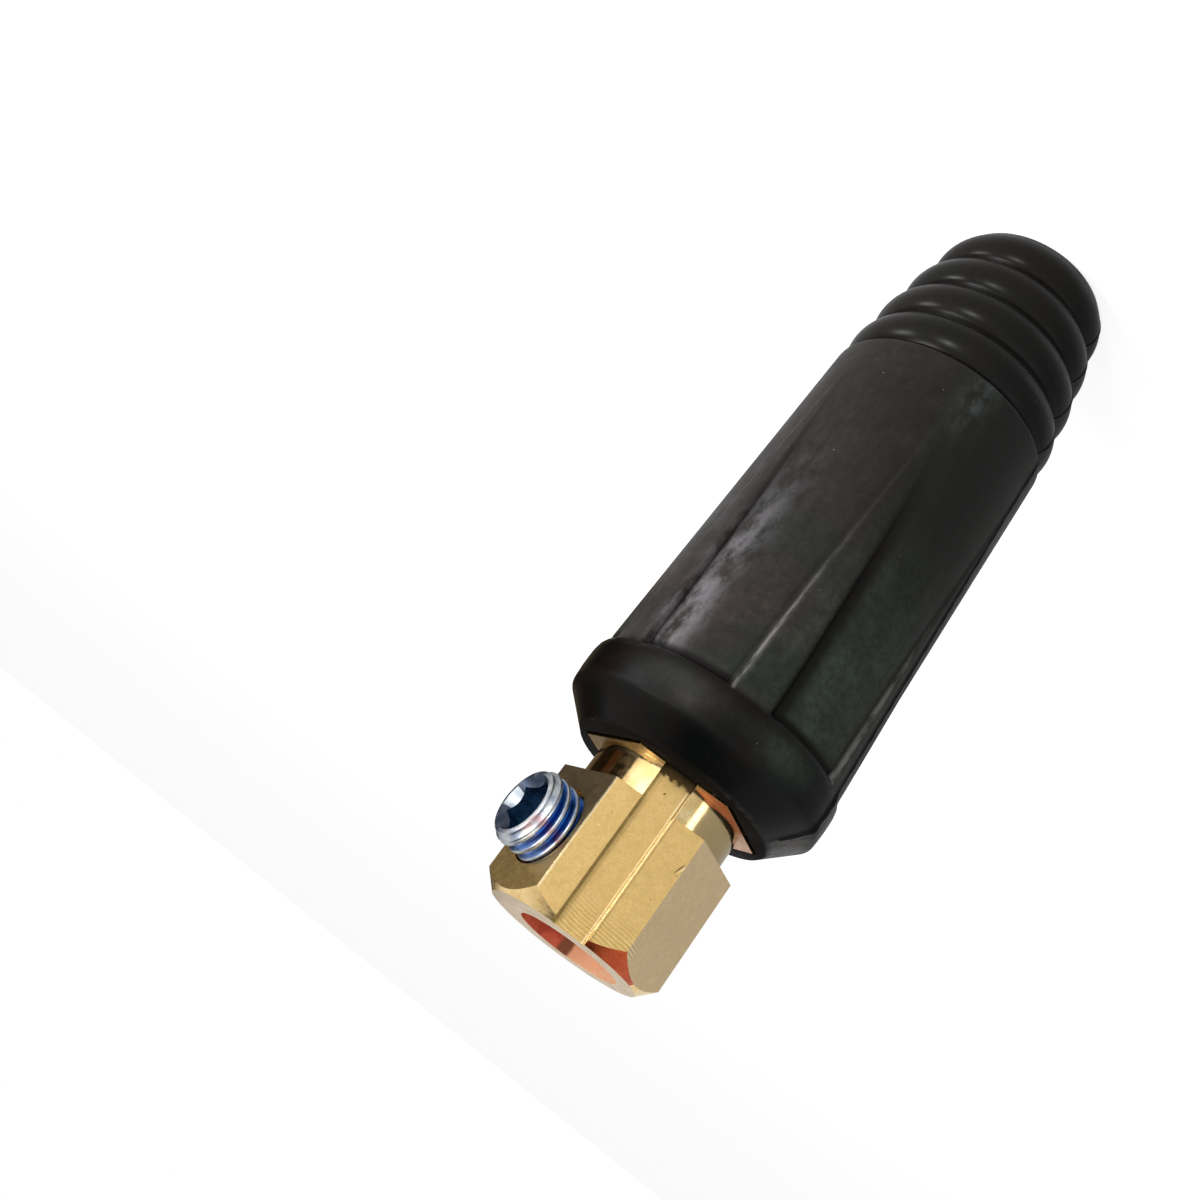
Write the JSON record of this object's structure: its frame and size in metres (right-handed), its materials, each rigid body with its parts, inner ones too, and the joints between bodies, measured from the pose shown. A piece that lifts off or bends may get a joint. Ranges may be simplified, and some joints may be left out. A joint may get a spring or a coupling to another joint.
{
  "type": "welding cable plug",
  "caption": "Twist-lock cable plug for a welding lead: ribbed rubber sleeve, hexagonal brass insert standing pin first in its mouth, and a side clamp screw.",
  "frame": {"origin": "centre of the sleeve's flat cable-end face, on the plug's axis", "axes": "+Z along the plug's axis from the sleeve's cable end to the brass insert, +X along the clamp screw, pointing out of the insert"},
  "size_m": [0.0354, 0.0352, 0.1095],
  "materials": {
    "rubber": "moulded black rubber, satin with a pale bloom",
    "brass": "machined from bar, fine tool lines",
    "blue_zinc": "blue-passivated zinc plate"
  },
  "bodies": {
    "sleeve": {"rubber_sleeve": "rubber"},
    "insert": {"brass_insert": "brass"},
    "screw": {"clamp_screw": "blue_zinc"}
  },
  "joints": [
    {"name": "insert_slide", "type": "slide", "parent": "sleeve", "child": "insert", "axis": [0, 0, 1], "range_m": [0, 0.026]},
    {"name": "clamp_screw_travel", "type": "slide", "parent": "insert", "child": "screw", "axis": [1, 0, 0], "range_m": [-0.0065, 0.0035]}
  ]
}
